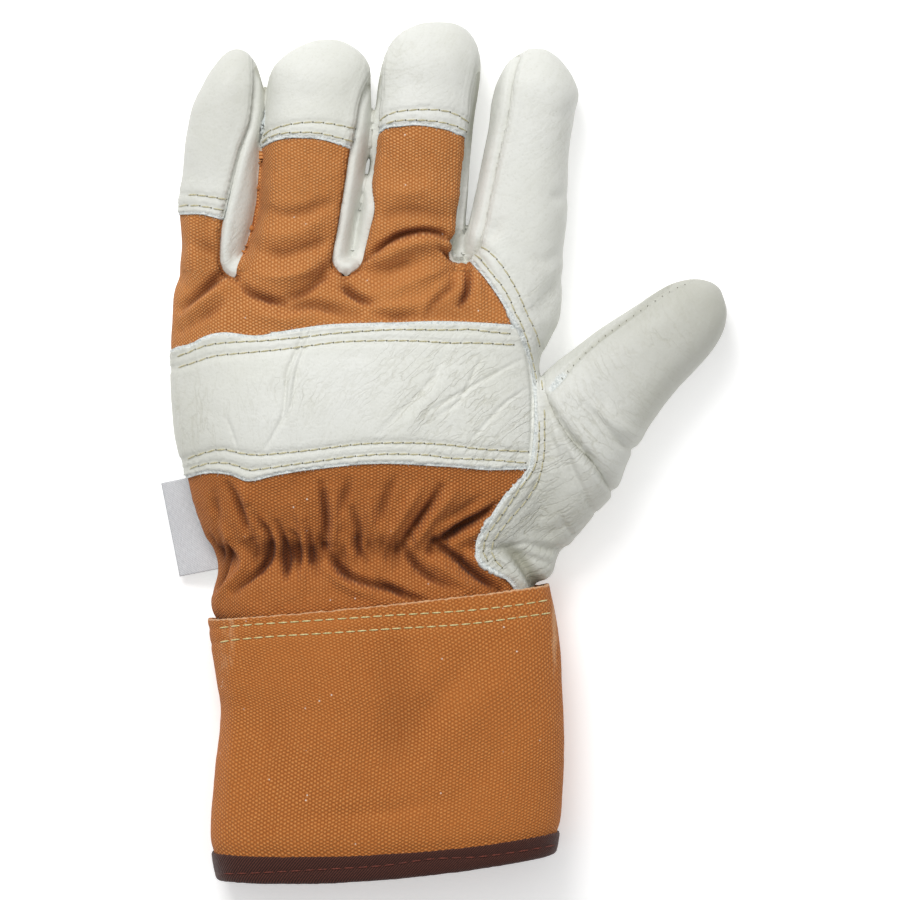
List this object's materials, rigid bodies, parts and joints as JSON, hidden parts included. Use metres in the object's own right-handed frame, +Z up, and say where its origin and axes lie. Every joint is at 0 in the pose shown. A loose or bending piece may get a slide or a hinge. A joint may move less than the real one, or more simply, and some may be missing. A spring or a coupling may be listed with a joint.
{
  "type": "fitters glove",
  "caption": "Insulated work glove with a leather palm, canvas back, knuckle strap, leather fingertips, gathered wrist and stiff bound cuff, lying on its palm.",
  "frame": {"origin": "on the surface the glove lies on, below the middle of its outline", "axes": "+Y runs from the cuff to the fingertips, +X to the thumb side, +Z up out of the back of the hand"},
  "size_m": [0.1783, 0.2704, 0.0355],
  "materials": {
    "leather": "smooth off-white grain leather with a suede reverse at raw edges",
    "canvas": "matt orange-brown cotton duck, plain weave, starched in the cuff",
    "binding": "matt dark brown fine twill tape",
    "satin": "soft white woven satin"
  },
  "bodies": {
    "root": {"palm": "leather", "thumb": "leather", "back_canvas": "canvas", "wrist_canvas": "canvas", "knuckle_strap": "leather", "cap_little": "leather", "cap_ring": "leather", "cap_middle": "leather", "fork_little_ring": "leather", "fork_ring_middle": "leather", "fork_middle_index": "leather", "cuff": "canvas", "cuff_binding": "binding", "label": "satin"}
  },
  "joints": []
}
